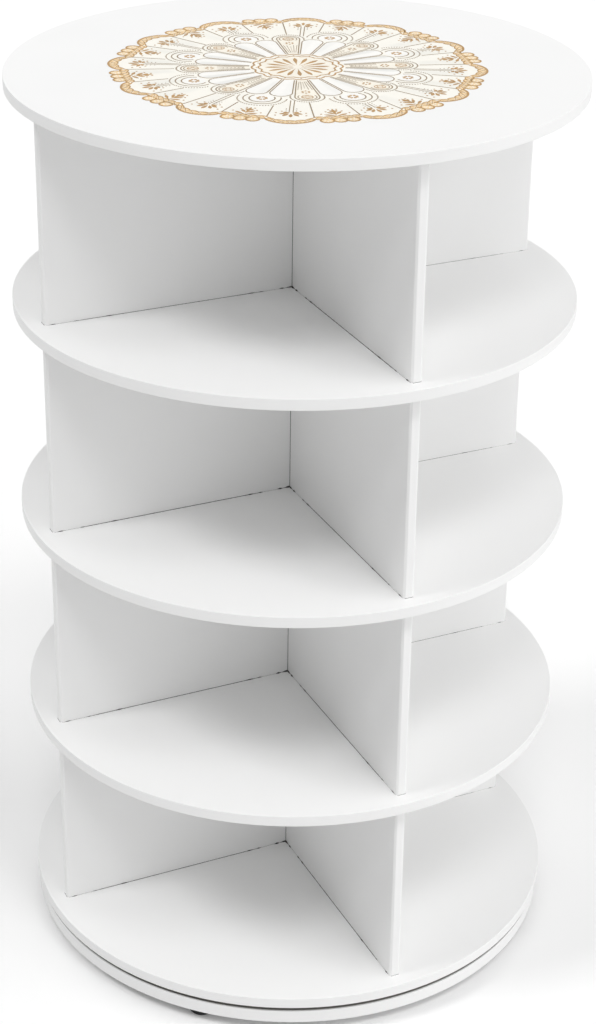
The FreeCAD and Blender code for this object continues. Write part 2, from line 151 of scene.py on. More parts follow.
class HiddenSettings(bpy.types.PropertyGroup):
    beech: colour("Beech", (0.56, 0.35, 0.18), "Light wood of the loose tenons")
    grain: colour("Grain", (0.40, 0.22, 0.10), "Darker grain of the tenons")
    rubber: colour("Rubber", (0.018, 0.018, 0.019), "Rubber of the feet")
    tread: length("Tread depth", 0.6 * MM, "Depth of the rings moulded in a foot's pad", 0.0, 2 * MM)


class StudioSettings(bpy.types.PropertyGroup):
    eye: bpy.props.FloatVectorProperty(
        name="Eye",
        description="Place of the camera",
        default=(-0.9419, -2.0291, 1.6352),
        size=3,
        subtype="TRANSLATION",
        unit="LENGTH",
    )
    heading: angle("Heading", -24.868, "Turn of the camera about the vertical")
    pitch: angle("Pitch", 25.502, "How far the camera looks down")
    roll: angle("Roll", 0.659, "Roll of the camera about its own axis")
    lens: amount("Lens", 78.78, "Focal length on a 36 mm long side", min=1.0, unit="CAMERA")
    shift_x: amount("Shift X", 0.0061, "Sideways lens shift")
    shift_y: amount("Shift Y", -0.0626, "Upward lens shift")
    ambient: strength("Ambient", 0.34, "Light from all round")
    front_lamp: strength("Front lamp", 0.51, "Lamp above the camera")
    left_lamp: strength("Left lamp", 0.71, "Lamp above, on the camera's left")
    right_lamp: strength("Right lamp", 0.37, "Lamp above, on the camera's right")
    low_front_lamp: strength("Low front lamp", 0.55, "Very large low lamp between the camera and its right")
    low_right_lamp: strength("Low right lamp", 1.02, "Very large low lamp on the camera's right")
    low_rear_lamp: strength("Low rear lamp", 0.48, "Very large low lamp behind the tower, on the left")
    floor: colour("Floor", (0.8, 0.8, 0.8), "Pale floor")


class ShoeTowerSettings(bpy.types.PropertyGroup):
    boards: section("Boards", "Lacquered boards", BoardSettings)
    joints: section("Joints", "Gaps between the boards", JointSettings)
    lace: section("Lace print", "Print on the top board", LaceSettings)
    turntable: section("Turntable", "Bearing between the base and the tower", TurntableSettings)
    hidden: section("Tenons and feet", "Small pieces", HiddenSettings)
    studio: section("Studio", "Light and camera", StudioSettings)


# ---------------------------------------------------------------- materials
class Wiring:
    """Adds nodes to a material's or world's tree. An input is a value or another node's output."""

    def __init__(self, tree):
        self.tree = tree

    @functools.cached_property
    def place(self):
        """Where a point is, in its object's own space."""
        return self.node("ShaderNodeTexCoord").outputs["Object"]

    def node(self, kind, inputs=(), **settings):
        node = self.tree.nodes.new(kind)
        for name, value in settings.items():
            setattr(node, name, value)
        for socket, value in dict(inputs).items():
            if isinstance(value, bpy.types.NodeSocket):
                self.tree.links.new(value, node.inputs[socket])
            else:
                node.inputs[socket].default_value = value
        return node

    def noise(self, scale, detail=2.0, stretch=(1, 1, 1)):
        """Noise in the object's own space, with about as many lumps to the metre as its scale.
        A small stretch along an axis pulls the lumps out that way."""
        place = self.node("ShaderNodeMapping", {"Vector": self.place, "Scale": stretch}).outputs["Vector"]
        inputs = {"Vector": place, "Scale": scale, "Detail": detail}
        return self.node("ShaderNodeTexNoise", inputs).outputs["Fac"]

    def cells(self, size):
        """Distance from the middle of the nearest cell."""
        inputs = {"Vector": self.place, "Scale": 1.0 / size}
        return self.node("ShaderNodeTexVoronoi", inputs).outputs["Distance"]

    def maths(self, operation, *values):
        return self.node("ShaderNodeMath", enumerate(values), operation=operation).outputs["Value"]

    def spread(self, value, low, high, to_low=0.0, to_high=1.0, smooth=False):
        inputs = {"Value": value, "From Min": low, "From Max": high, "To Min": to_low, "To Max": to_high}
        kind = "SMOOTHSTEP" if smooth else "LINEAR"
        return self.node("ShaderNodeMapRange", inputs, interpolation_type=kind).outputs["Result"]

    def mix(self, factor, first, second):
        """A blend of two colours. The sockets that the mix node uses for colours are 6, 7 and 2."""
        inputs = {0: factor, 6: opaque(first), 7: opaque(second)}
        return self.node("ShaderNodeMix", inputs, data_type="RGBA").outputs[2]

    def radius(self):
        """Distance from the tower's axis."""
        flat = self.node("ShaderNodeMapping", {"Vector": self.place, "Scale": (1, 1, 0)}).outputs["Vector"]
        return self.node("ShaderNodeVectorMath", {0: flat}, operation="LENGTH").outputs["Value"]

    def bump(self, height, depth, strength=1.0):
        inputs = {"Height": height, "Distance": depth, "Strength": strength}
        self.into("Normal", self.node("ShaderNodeBump", inputs).outputs["Normal"])

    def tint(self, factor, first, second):
        """Gives the shader a blend of two colours."""
        self.into("Base Color", self.mix(factor, first, second))

    def into(self, socket, value, shader="Principled BSDF"):
        """Wires a value into the shader, or into another node that the tree starts with."""
        self.tree.links.new(value, self.tree.nodes[shader].inputs[socket])


def opaque(value):
    """A colour with its alpha, or a socket as it is."""
    return value if isinstance(value, bpy.types.NodeSocket) else (*value[:3], 1.0)


def toned(value, factor):
    """A colour made darker, or lighter by a factor over 1."""
    return tuple(channel * factor for channel in value)


def new_material(name, **inputs):
    """A material whose shader takes the inputs given; underscores stand for spaces."""
    material = bpy.data.materials.new(name)
    material.use_nodes = True
    shader = material.node_tree.nodes["Principled BSDF"]
    for socket, value in inputs.items():
        shader.inputs[socket.replace("_", " ")].default_value = value
    return material, Wiring(material.node_tree)


# painted shade in the turntable gap, drawn as dark grey bare board on faces that never show: how far off
# its level it still counts, and where it ends, counted from the rim
TURNTABLE_SHADE_DEPTH = 0.3 * MM
TURNTABLE_SHADE_RIM = (2.0 * MM, 1.8 * MM)


def lacquer(name, settings, rim, turntable_shade_level=None):
    """White lacquer with a faint orange peel, and the band round the board's outer edge.
    A face that never shows, at the given level, is dark grey bare board up to its rim: painted shade in the
    turntable gap."""
    material, wiring = new_material(name, IOR=1.47)
    radius = wiring.radius()
    cloud = wiring.spread(wiring.noise(5.0, 3.0), 0.3, 0.7)
    face = wiring.mix(cloud, settings.lacquer, toned(settings.lacquer, 0.985))
    edge = wiring.spread(radius, rim - settings.band_width, rim - 0.7 * settings.band_width)
    tone = wiring.mix(edge, face, settings.band)
    roughness = wiring.spread(cloud, 0.0, 1.0, settings.gloss - 0.03, settings.gloss + 0.04)
    # painted shade: the faces hidden in the turntable gap are dark grey, drawn as bare board
    if turntable_shade_level is not None:
        height = wiring.node("ShaderNodeSeparateXYZ", {"Vector": wiring.place}).outputs["Z"]
        level = wiring.maths("COMPARE", height, turntable_shade_level, TURNTABLE_SHADE_DEPTH)
        turntable_shade_fibres = wiring.spread(wiring.noise(900.0, 4.0), 0.35, 0.65)
        bare_board_shade = wiring.mix(turntable_shade_fibres, toned(settings.bare_board_shade, 0.8), settings.bare_board_shade)
        inner = wiring.spread(radius, rim - TURNTABLE_SHADE_RIM[0], rim - TURNTABLE_SHADE_RIM[1], 1.0, 0.0)
        hidden = wiring.maths("MULTIPLY", level, inner)
        tone = wiring.mix(hidden, tone, bare_board_shade)
        roughness = wiring.maths("MAXIMUM", roughness, hidden)
    wiring.into("Base Color", tone)
    wiring.into("Roughness", roughness)
    peel = wiring.maths("ADD", wiring.noise(420.0), wiring.maths("MULTIPLY", wiring.noise(2200.0), 0.25))
    wiring.bump(peel, 0.04 * MM, 0.35)
    return material


def painted_shade_in_gaps(settings):
    # painted shade: the joints' dark strips stand in for the shade inside the gaps
    material, wiring = new_material("joint_shade", Roughness=0.9)
    shade = settings.shade
    wiring.tint(wiring.noise(160.0, 3.0), toned(shade, 0.55), toned(shade, 1.6))
    wiring.bump(wiring.noise(1500.0, 3.0), 0.1 * MM)
    return material


def printed_ink(name, tone, shade, roughness):
    """Ink whose tone wanders down to a share of itself, with the tooth of the film under it."""
    material, wiring = new_material(name)
    wander = wiring.spread(wiring.noise(55.0, 4.0), 0.35, 0.65)
    wiring.tint(wander, toned(tone, shade), tone)
    haze = wiring.noise(300.0)
    wiring.into("Roughness", wiring.spread(haze, 0.3, 0.7, roughness - 0.06, roughness + 0.06))
    wiring.bump(wiring.noise(1800.0, 3.0), 0.05 * MM, 0.5)
    return material


# over what distance a fold fades in and out
FOLD_FADE = 12 * MM


def lace_cloth(name, tone, settings, low, high, depth):
    """Printed cloth with soft folds between two radii: one side of each field is shaded, and most
    on the print's left and right."""
    material, wiring = new_material(name, Roughness=0.45)
    parts = wiring.node("ShaderNodeSeparateXYZ", {"Vector": wiring.place}).outputs
    turn = wiring.maths("SUBTRACT", wiring.maths("ARCTAN2", parts["Y"], parts["X"]), settings.turn)
    radius = wiring.radius()
    fold = wiring.maths("MAXIMUM", wiring.maths("SINE", wiring.maths("MULTIPLY", turn, FIELDS)), 0.0)
    for part in (
        wiring.maths("ABSOLUTE", wiring.maths("COSINE", turn)),
        wiring.spread(radius, low, low + FOLD_FADE, smooth=True),
        wiring.spread(radius, high - FOLD_FADE, high, 1.0, 0.0, smooth=True),
        depth,
    ):
        fold = wiring.maths("MULTIPLY", fold, part)
    cloth = wiring.mix(wiring.spread(wiring.noise(40.0, 3.0), 0.35, 0.65), toned(tone, 0.975), tone)
    wiring.tint(fold, cloth, settings.fold)
    wiring.bump(wiring.noise(1800.0, 3.0), 0.05 * MM, 0.5)
    return material


def zinc(name, tint, spangle_size):
    """Zinc plating: faint spangle, fine rolling lines and a little haze."""
    material, wiring = new_material(name, Metallic=1.0)
    spangle = wiring.cells(spangle_size)
    wiring.tint(spangle, toned(tint, 0.86), tint)
    lines = wiring.noise(900.0, 3.0, stretch=(0.05, 1.0, 1.0))
    wear = wiring.maths("MULTIPLY", lines, 0.16)
    haze = wiring.maths("ADD", wear, wiring.maths("MULTIPLY", spangle, 0.1))
    wiring.into("Roughness", wiring.maths("ADD", haze, 0.22))
    wiring.bump(lines, 0.02 * MM, 0.5)
    return material


def ball_steel(settings):
    material, wiring = new_material("ball_steel", Metallic=1.0)
    marks = wiring.noise(1400.0, 4.0, stretch=(0.2, 1.0, 1.0))
    wiring.tint(marks, toned(settings.steel, 0.93), settings.steel)
    wiring.into("Roughness", wiring.spread(marks, 0.3, 0.7, 0.05, 0.13))
    return material


def nylon(settings):
    material, wiring = new_material("cage_nylon", Subsurface_Weight=0.12, Subsurface_Scale=2 * MM)
    cloud = wiring.noise(90.0, 3.0)
    wiring.tint(cloud, toned(settings.nylon, 0.94), settings.nylon)
    wiring.into("Roughness", wiring.spread(cloud, 0.3, 0.7, 0.42, 0.55))
    wiring.bump(wiring.noise(1600.0), 0.03 * MM, 0.5)
    return material


def beech(settings):
    """Straight-grained beech with short dark flecks."""
    material, wiring = new_material("tenon_beech", Roughness=0.62)
    grain = wiring.noise(260.0, 4.0, stretch=(1.0, 1.0, 0.06))
    flecks = wiring.spread(wiring.noise(700.0, 1.0, stretch=(1.0, 1.0, 0.12)), 0.62, 0.7)
    wood = wiring.mix(wiring.spread(grain, 0.35, 0.65), settings.grain, settings.beech)
    wiring.tint(flecks, wood, toned(settings.grain, 0.7))
    wiring.bump(grain, 0.1 * MM, 0.6)
    return material


def rubber(settings):
    """Moulded rubber with a dull bloom and a little dust."""
    material, wiring = new_material("black_rubber", Specular_IOR_Level=0.35)
    bloom = wiring.spread(wiring.noise(120.0, 4.0), 0.45, 0.75)
    wiring.tint(bloom, settings.rubber, toned(settings.rubber, 2.4))
    wiring.into("Roughness", wiring.spread(bloom, 0.0, 1.0, 0.6, 0.85))
    wiring.bump(wiring.noise(1300.0, 3.0), 0.08 * MM, 0.6)
    return material


# ---------------------------------------------------------------- pieces
def dress(node, material):
    """Gives a node of the frame its finish."""
    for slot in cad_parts[node].material_slots:
        slot.material = material


def ease_edges(node, width):
    """Rounds a node's sharp edges with modifiers, and keeps its flat faces flat."""
    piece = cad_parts[node]
    weld = piece.modifiers.new("weld", "WELD")
    weld.merge_threshold = 0.02 * MM
    bevel = piece.modifiers.new("eased_edges", "BEVEL")
    bevel.width = width
    bevel.segments = 3
    bevel.limit_method = "ANGLE"
    bevel.angle_limit = SHARPEST
    bevel.use_clamp_overlap = False
    normals = piece.modifiers.new("normals", "WEIGHTED_NORMAL")
    normals.weight = 50


def new_object(name, data):
    """An object in the scene."""
    thing = bpy.data.objects.new(name, data)
    bpy.context.scene.collection.objects.link(thing)
    return thing


def new_piece(name, vertices, faces, body, material, replaced=(), turned=False):
    """A piece that rides on a body of the frame, with its finish. A turned piece has its doubled
    points joined, and is shaded smooth except over its sharp edges."""
    mesh = bpy.data.meshes.new(name)
    mesh.from_pydata(vertices, [], faces)
    work = bmesh.new()
    work.from_mesh(mesh)
    if turned:
        bmesh.ops.remove_doubles(work, verts=work.verts, dist=0.001 * MM)
    bmesh.ops.recalc_face_normals(work, faces=work.faces)
    work.to_mesh(mesh)
    work.free()
    if turned:
        mesh.shade_smooth()
        mesh.set_sharp_from_angle(angle=SHARPEST)
    mesh.materials.append(material)
    piece = new_object(name, mesh)
    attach(piece, body)
    if replaced:
        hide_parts(*replaced)


def wall(here, there, count):
    """Faces between two rings with the same count of points, given by each ring's first point."""
    sides = [(n, (n + 1) % count) for n in range(count)]
    return [(here + n, here + after, there + after, there + n) for n, after in sides]


# ---------------------------------------------------------------- joint gaps and their painted shade
# short wider spots of a gap's painted shade: place along the run, half length and extra width, in usual
# widths;
# a negative place counts from the end
OPEN_SPOTS = (
    (2 * MM, 4 * MM, 3.0),
    (12 * MM, 2 * MM, 3.0),
    (36 * MM, 2 * MM, 1.4),
    (48 * MM, 2.5 * MM, 1.2),
    (-68 * MM, 3 * MM, 1.0),
    (-32 * MM, 2 * MM, 1.0),
    (-7 * MM, 2.5 * MM, 1.6),
)
# the painted shade of a gap widens between these places, counted from the start of the run,
# and narrows between these, counted back from its end
OPENS = (30 * MM, 50 * MM)
CLOSES = (42 * MM, 30 * MM)
SHUT_SHARE = 0.18
END_SHARE = 0.6
# arms of the cross are counted from +X, turning left
ARMS = 4
# one arm has narrower painted shade, and at another arm's outer end the head's strip paints the shadow
# under the board
TIGHT_ARM = 0
TIGHT_SHARE = 0.55
OPEN_ARM = 2
GAP_STEPS = 160
END_ROWS = 6
CENTRE_ROWS = 24
# how far the strips stop short of a divider's bevelled end
SIDE_STOP = 1.6 * MM
END_STOP = 1.2 * MM


def smooth_step(value, low, high):
    along = min(1.0, max(0.0, (value - low) / (high - low)))
    return along * along * (3 - 2 * along)


def gap_width(distance, run, usual):
    """Width of a gap's dark strip of painted shade at a distance along its run, from the middle of the
    cross
    outwards: open in the middle of the run, nearly closed near both ends, with short wider spots
    beside the fixings."""
    inner = smooth_step(distance, *OPENS)
    outer = 1 - smooth_step(distance, *(run - place for place in CLOSES))
    width = usual * (SHUT_SHARE + (1 - SHUT_SHARE) * inner * outer)
    for spot, reach, extra in OPEN_SPOTS:
        centre = spot if spot > 0 else run + spot
        width += usual * extra * math.exp(-(((distance - centre) / reach) ** 2))
    return width


class Corners:
    """Dark three-sided strips of painted shade that lie in the corner between two boards."""

    def __init__(self):
        self.vertices = []
        self.faces = []

    def strip(self, start, end, out, up, widths):
        """Runs along the corner from start to end, and opens out and up by each width."""
        first = len(self.vertices)
        last = first + 3 * (len(widths) - 1)
        for number, width in enumerate(widths):
            corner = start.lerp(end, number / (len(widths) - 1))
            self.vertices.extend((corner, corner + out * width, corner + up * width))
        for row in range(first, last, 3):
            self.faces.extend(wall(row, row + 3, 3))
        self.faces.append((first, first + 1, first + 2))
        self.faces.append((last, last + 1, last + 2))


# ---------------------------------------------------------------- lace print
# Points of the print are complex numbers: x + iy on the top board, from the axis outwards.
# Each part of the pattern is drawn about the X axis and turned to its place.
FIELDS = 24
FIELD = math.tau / FIELDS
LOBES = 8
LOBE = math.tau / LOBES
FLOWERS = FIELDS // 2
FLOWER = math.tau / FLOWERS
RING_SCALLOPS = 16
PETAL_ROOT = 49 * MM
SMALL_LOBE = 107 * MM
LARGE_LOBE = 117 * MM
SMALL_REACH = 19 * MM
LARGE_REACH = 27 * MM
FLORET_PLACE = 185.5 * MM
FLORET_RADIUS = 6.6 * MM
FLORET_SHIFT = math.radians(3.9)
BAND_ROOT = 174.5 * MM
BAND_INNER_CREST = 186 * MM
BAND_CREST = 194 * MM
BAND_EDGE = 181 * MM
BAND_SCALLOPS = 120
BAND_SCALLOP = 1.8 * MM
# how far the band's outer line runs on under the florets
BAND_LAP = math.radians(1.4)
BAND_STEPS = 960
GROUND_STEPS = 720
CREST_STEPS = 40
RING_STEPS = 192
BEADS = 144
BEAD = 1.7 * MM
BEAD_PLACE = 0.45
FLORET_BEAD = 1.0 * MM
# ring of a floret's beads: radius and count
FLORET_BEADS = (2.9 * MM, 5)
# what the ground shows outside the band and the florets
BAND_HEM = 1.2 * MM
FLORET_HEM = 0.8 * MM

# petals: root, middle of the round end, half width at the root and radius of the end
VEINED_PETAL = (PETAL_ROOT, SMALL_LOBE, 5.4 * MM, 12.4 * MM)
VEINED_TINT = (PETAL_ROOT, SMALL_LOBE, 5.2 * MM, 12.2 * MM)
BLANK_PETAL = (PETAL_ROOT, 95 * MM, 5.3 * MM, 11.2 * MM)
# arcs about a lobe's middle or a floret's: radius, half turn and steps
SMALL_LOBE_RING = (9.4 * MM, math.radians(125), 20)
SMALL_LOBE_DOTS = (17 * MM, math.radians(105), 26)
LARGE_LOBE_RINGS = ((12.8 * MM, math.radians(128), 20), (18.8 * MM, math.radians(116), 26))
LARGE_LOBE_DOTS = (24.5 * MM, math.radians(98), 30)
# round spots: radius and sides
LARGE_LOBE_MIDDLE = (12 * MM, 20)
FLORET = (FLORET_RADIUS, 14)
MIDDLE_TINT = (40 * MM, 64)
BALL = 5.8 * MM
BALL_RING = (BALL, math.pi * 0.99, 14)
BALL_NET = 2.4 * MM
# middle, radius and count of the dots of a rosette
ROSETTE = (complex(90 * MM, 0), 3.6 * MM, 6)
ROSETTE_DOT = 1.3 * MM
# petals of a lobe's flower: how many, start and tip from the flower's middle, and half width
FLOWER_PETALS = (8, 1.8 * MM, 6.2 * MM, 1.5 * MM)
FLORET_EDGE = (FLORET_RADIUS, math.radians(150), 12)
# scalloped rings of the middle: radius, height of a scallop and width in fine lines
MIDDLE_RINGS = ((44 * MM, 3.0 * MM, 1.6), (37.5 * MM, 2.6 * MM, 1.4))
MIDDLE_DOTS = 42 * MM
# leaf of the middle: start, tip, half width, where it is widest, and steps
MIDDLE_LEAF = (complex(5 * MM, 0), complex(33 * MM, 0), 2.1 * MM, 0.72, 9)
# veins of a small lobe's petal: places of their ends and how far they spread there
VEIN_LEANS = (-1.0, -0.5, 0.5, 1.0)
VEIN_START = 54 * MM
VEIN_END = 82 * MM
VEIN_SPREAD = (3.4 * MM, 7.2 * MM)
VEIN_DOTS = range(56, 80, 4)
STEM_END = 158 * MM
STEM_HALF_WIDTH = 1.9 * MM
STEM_DOTS = ((146, 5), (150, 5), (154, 5))
# leaves in degrees and millimetres: direction, distance of the foot from the axis, and length
SPRIG_LEAVES = tuple(
    (direction, 160, size)
    for direction, size in ((-105, 8), (-72, 12), (-38, 13), (0, 14), (38, 13), (72, 12), (105, 8))
)
SPRAY_LEAVES = (
    *(
        (side * direction, foot, size)
        for direction, foot, size in ((62, 172, 13), (40, 167, 11), (32, 160, 7))
        for side in (-1, 1)
    ),
    (0, 169, 20),
)
# dots in millimetres: distance along the middle line, and off it to both sides
SPRIG_DOTS = ((155, 9), (160, 14.5), (168, 15))
SPRAY_DOTS = ((151, 4), (157, 8), (164, 14))
LEAF_DOT = 1.1 * MM
SPRIG_LEAF = 1.9 * MM
SPRAY_LEAF = 1.7 * MM
# share of a sprig's leaf that is left out at its foot
LEAF_GAP = 0.2
# folds of the printed cloth: inner and outer radius, and depth of the shade
PETAL_FOLDS = (52 * MM, 108 * MM, 0.55)
FIELD_FOLDS = (122 * MM, 178 * MM, 0.3)

# Shapes of one sheet end a hair under each other, so that none that cross are level.
HAIR = 0.002 * MM
HAIRS = 12


def lobe_circles():
    """Turn, distance from the axis and reach of every lobe."""
    for number in range(LOBES):
        yield number * LOBE, SMALL_LOBE, SMALL_REACH
        yield (number + 0.5) * LOBE, LARGE_LOBE, LARGE_REACH


def floret_turns():
    """Turns of the florets, three to each cluster."""
    for number in range(FLOWERS):
        for shift in (-FLORET_SHIFT, 0, FLORET_SHIFT):
            yield number * FLOWER + FIELD / 2 + shift


def leaves_circles(turn, circles):
    """Radius at which a line from the axis leaves the last of the circles."""
    radius = 0.0
    for place, distance, reach in circles:
        off = distance * math.sin(turn - place)
        if abs(off) < reach and math.cos(turn - place) > 0:
            radius = max(radius, distance * math.cos(turn - place) + math.sqrt(reach * reach - off * off))
    return radius


def wave(turn):
    """Rise of the border over the sprigs, from 0 to 1. It is 0 over the clusters of florets."""
    return max(0.0, math.cos((turn + FIELD / 2) * FLOWERS)) ** 0.6


def crest(turn):
    """Outer edge of the border's band."""
    return BAND_EDGE + (BAND_CREST - BAND_EDGE) * wave(turn)


def root(turn):
    """Inner edge of the border's band without its scallops."""
    return BAND_ROOT + (BAND_INNER_CREST - BAND_ROOT) * wave(turn)


def lacy_root(turn):
    """Inner edge of the border's band, with small scallops towards the axis."""
    return root(turn) - BAND_SCALLOP * abs(math.sin(turn * BAND_SCALLOPS / 2))


def scallop(turn):
    """Rise of the scallops round the middle, from 0 to 1."""
    return abs(math.cos(turn * RING_SCALLOPS / 2))


def bead_place(turn):
    """Where the border's beads lie, from its inner edge outwards."""
    return crest(turn) * BEAD_PLACE + root(turn) * (1 - BEAD_PLACE)


def outer_edge(turn):
    """Edge of the whole print."""
    florets = [(place, FLORET_PLACE, FLORET_RADIUS + FLORET_HEM) for place in floret_turns()]
    return max(crest(turn) + BAND_HEM, leaves_circles(turn, florets))


def around(radius_at, steps, start=0.0, end=math.tau):
    """Points along a curve given by its radius at every turn. A closed curve has no point twice."""
    count = steps if end - start == math.tau else steps + 1
    turns = [start + (end - start) * n / steps for n in range(count)]
    return [cmath.rect(radius_at(turn), turn) for turn in turns]


def ring(centre, radius, count):
    """Points evenly spaced round a centre."""
    return [centre + cmath.rect(radius, n * math.tau / count) for n in range(count)]


def arc(centre, radius, half_turn, steps):
    """Points on an arc about a centre, which opens towards the axis."""
    return [centre + cmath.rect(radius, half_turn * (2 * n / steps - 1)) for n in range(steps + 1)]


def petal_path(start, end, narrow, wide):
    """A petal's edge: out along one side, round the end and back."""
    return [complex(start, -narrow), *arc(complex(end, 0), wide, QUARTER, 12), complex(start, narrow)]


def both_sides(places):
    """Points on both sides of the X axis, given along it and off it in millimetres."""
    return [complex(distance, side * off) * MM for side in (-1, 1) for distance, off in places]


def leaf_shape(start, tip, half_width, fullest=0.6, steps=6):
    """A leaf from one point to another, widest at a share of its length."""
    spine = tip - start
    side = spine / abs(spine) * 1j * half_width
    sides = []
    for hand, order in ((1, range(steps + 1)), (-1, range(steps - 1, 0, -1))):
        for n in order:
            along = (n / steps) ** (math.log(0.5) / math.log(fullest))
            sides.append(start + spine * (n / steps) + side * (hand * math.sin(math.pi * along)))
    return sides


class FlatWork:
    """Collects closed flat shapes that lie on the top board and reach up to one height."""

    def __init__(self, top):
        self.top = top
        self.drawn = 0
        self.points = []
        self.faces = []
        self.turn = 1

    def next_top(self):
        """A hair under the last shape's top."""
        self.drawn += 1
        return self.top - self.drawn % HAIRS * HAIR

    def turned(self, turn):
        """Turns what is drawn next about the axis."""
        self.turn = cmath.rect(1, turn)
        return self

    def add(self, point, level):
        self.points.append((point * self.turn, level))

    def vertices(self, turn):
        """All the points, turned together about the axis."""
        whole = cmath.rect(1, turn)
        turned = [(place * whole, level) for place, level in self.points]
        return [(place.real, place.imag, level) for place, level in turned]

    def shape(self, outline):
        count = len(outline)
        first = len(self.points)
        for level in (PRINT_LOW, self.next_top()):
            for point in outline:
                self.add(point, level)
        self.faces.append(tuple(range(first + count - 1, first - 1, -1)))
        self.faces.append(tuple(range(first + count, first + 2 * count)))
        self.faces.extend(wall(first, first + count, count))

    def dot(self, centre, radius, sides=6):
        self.shape(ring(centre, radius, sides))

    def dots(self, points, radius):
        for point in points:
            self.dot(point, radius)

    def ribbon(self, edges, closed):
        """A flat strip between pairs of points, with square ends unless it is closed."""
        count = len(edges)
        first = len(self.points)
        top = self.next_top()
        for right, left in edges:
            for point, level in ((right, PRINT_LOW), (left, PRINT_LOW), (left, top), (right, top)):
                self.add(point, level)
        for n in range(count if closed else count - 1):
            self.faces.extend(wall(first + 4 * n, first + 4 * ((n + 1) % count), 4))
        if not closed:
            last = first + 4 * (count - 1)
            self.faces.append((first + 3, first + 2, first + 1, first))
            self.faces.append((last, last + 1, last + 2, last + 3))

    def line(self, points, width, closed=False):
        """A strip of one width along the points."""
        edges = []
        for n, point in enumerate(points):
            before = points[n - 1] if closed or n else point
            after = points[(n + 1) % len(points)] if closed or n < len(points) - 1 else point
            along = after - before
            side = along / abs(along) * 1j * width / 2
            edges.append((point - side, point + side))
        self.ribbon(edges, closed)


# ---------------------------------------------------------------- operators
class SHOETOWER_OT_boards(bpy.types.Operator):
    """Lacquer the round boards and the dividers, and ease their edges; faces hidden in the turntable gap
    get dark grey painted shade
    """

    bl_idname = "shoetower.boards"
    bl_label = "Boards and Dividers"

    def execute(self, context):
        settings = context.scene.shoe_tower.boards
        low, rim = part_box("bottom_board")[0].z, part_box("bottom_board")[1].x
        # the faces hidden in the turntable gap get dark grey painted shade
        bottom_finish = lacquer("bottom_board_lacquer", settings, rim, low)
        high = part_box("base_board")[1]
        base_finish = lacquer("base_board_lacquer", settings, high.x, high.z)
        finishes = {"bottom_board": bottom_finish, "base_board": base_finish}
        board_finish = lacquer("white_board", settings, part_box("top_board")[1].x)
        for board in (*ROUND_BOARDS, "base_board"):
            dress(board, finishes.get(board, board_finish))
            ease_edges(board, settings.round_arris)
        divider_finish = lacquer("white_divider", settings, DIVIDER_REACH)
        for tier in TIERS:
            for side in DIVIDER_SIDES:
                dress(f"{tier}_{side}_divider", divider_finish)
                ease_edges(f"{tier}_{side}_divider", settings.divider_arris)
        return {"FINISHED"}


class SHOETOWER_OT_joints(bpy.types.Operator):
    """Draw dark strips of painted shade in the gaps at the dividers' feet and heads and where they cross"""

    bl_idname = "shoetower.joints"
    bl_label = "Joint Gaps"

    def execute(self, context):
        settings = context.scene.shoe_tower.joints
        shade = painted_shade_in_gaps(settings)
        draws = random.Random(11)
        for tier in TIERS:
            low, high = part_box(f"{tier}_long_divider")
            for name, gaps in (
                ("foot_gap", self.board_gaps(low.z, 1, settings.gap, settings.gap * END_SHARE, draws)),
                ("head_gap", self.board_gaps(high.z, -1, settings.head_gap, settings.head_end_gap, draws)),
                ("centre_gap", self.centre_gaps(low.z, high.z, settings.centre_gap)),
            ):
                new_piece(f"{tier}_{name}", gaps.vertices, gaps.faces, "tower", shade)
        return {"FINISHED"}

    def board_gaps(self, level, side, usual, open_end, draws):
        """Dark strips of painted shade in the gaps on both faces of the four arms of the cross, and at
        their ends, most at the open arm's, where they paint the shadow under the board.
        """
        gaps = Corners()
        run = DIVIDER_REACH - HALF_DIVIDER
        up = Vector((0, 0, side))
        for arm in range(ARMS):
            along = Vector((math.cos(arm * QUARTER), math.sin(arm * QUARTER), 0))
            across = Vector((-along.y, along.x, 0))
            for hand in (-1, 1):
                face = across * (hand * HALF_DIVIDER) + Vector((0, 0, level))
                wander = draws.uniform(0.8, 1.1) * (TIGHT_SHARE if arm == TIGHT_ARM else 1.0)
                widths = [
                    gap_width(run * n / GAP_STEPS, run, usual) * wander * draws.uniform(0.85, 1.15)
                    for n in range(GAP_STEPS + 1)
                ]
                start = face + along * HALF_DIVIDER
                end = face + along * (DIVIDER_REACH - SIDE_STOP)
                gaps.strip(start, end, across * hand, up, widths)
            end = along * DIVIDER_REACH + Vector((0, 0, level))
            half_end = across * (HALF_DIVIDER - END_STOP)
            widths = [open_end if arm == OPEN_ARM else usual * END_SHARE] * END_ROWS
            gaps.strip(end - half_end, end + half_end, along, up, widths)
        return gaps

    def centre_gaps(self, low, high, width):
        """Upright strips of painted shade in the gaps where the short dividers meet the long one."""
        gaps = Corners()
        for side_x in (-1, 1):
            for side_y in (-1, 1):
                start = Vector((side_x * HALF_DIVIDER, side_y * HALF_DIVIDER, low))
                end = Vector((side_x * HALF_DIVIDER, side_y * HALF_DIVIDER, high))
                out, along = Vector((side_x, 0, 0)), Vector((0, side_y, 0))
                gaps.strip(start, end, out, along, [width] * CENTRE_ROWS)
        return gaps


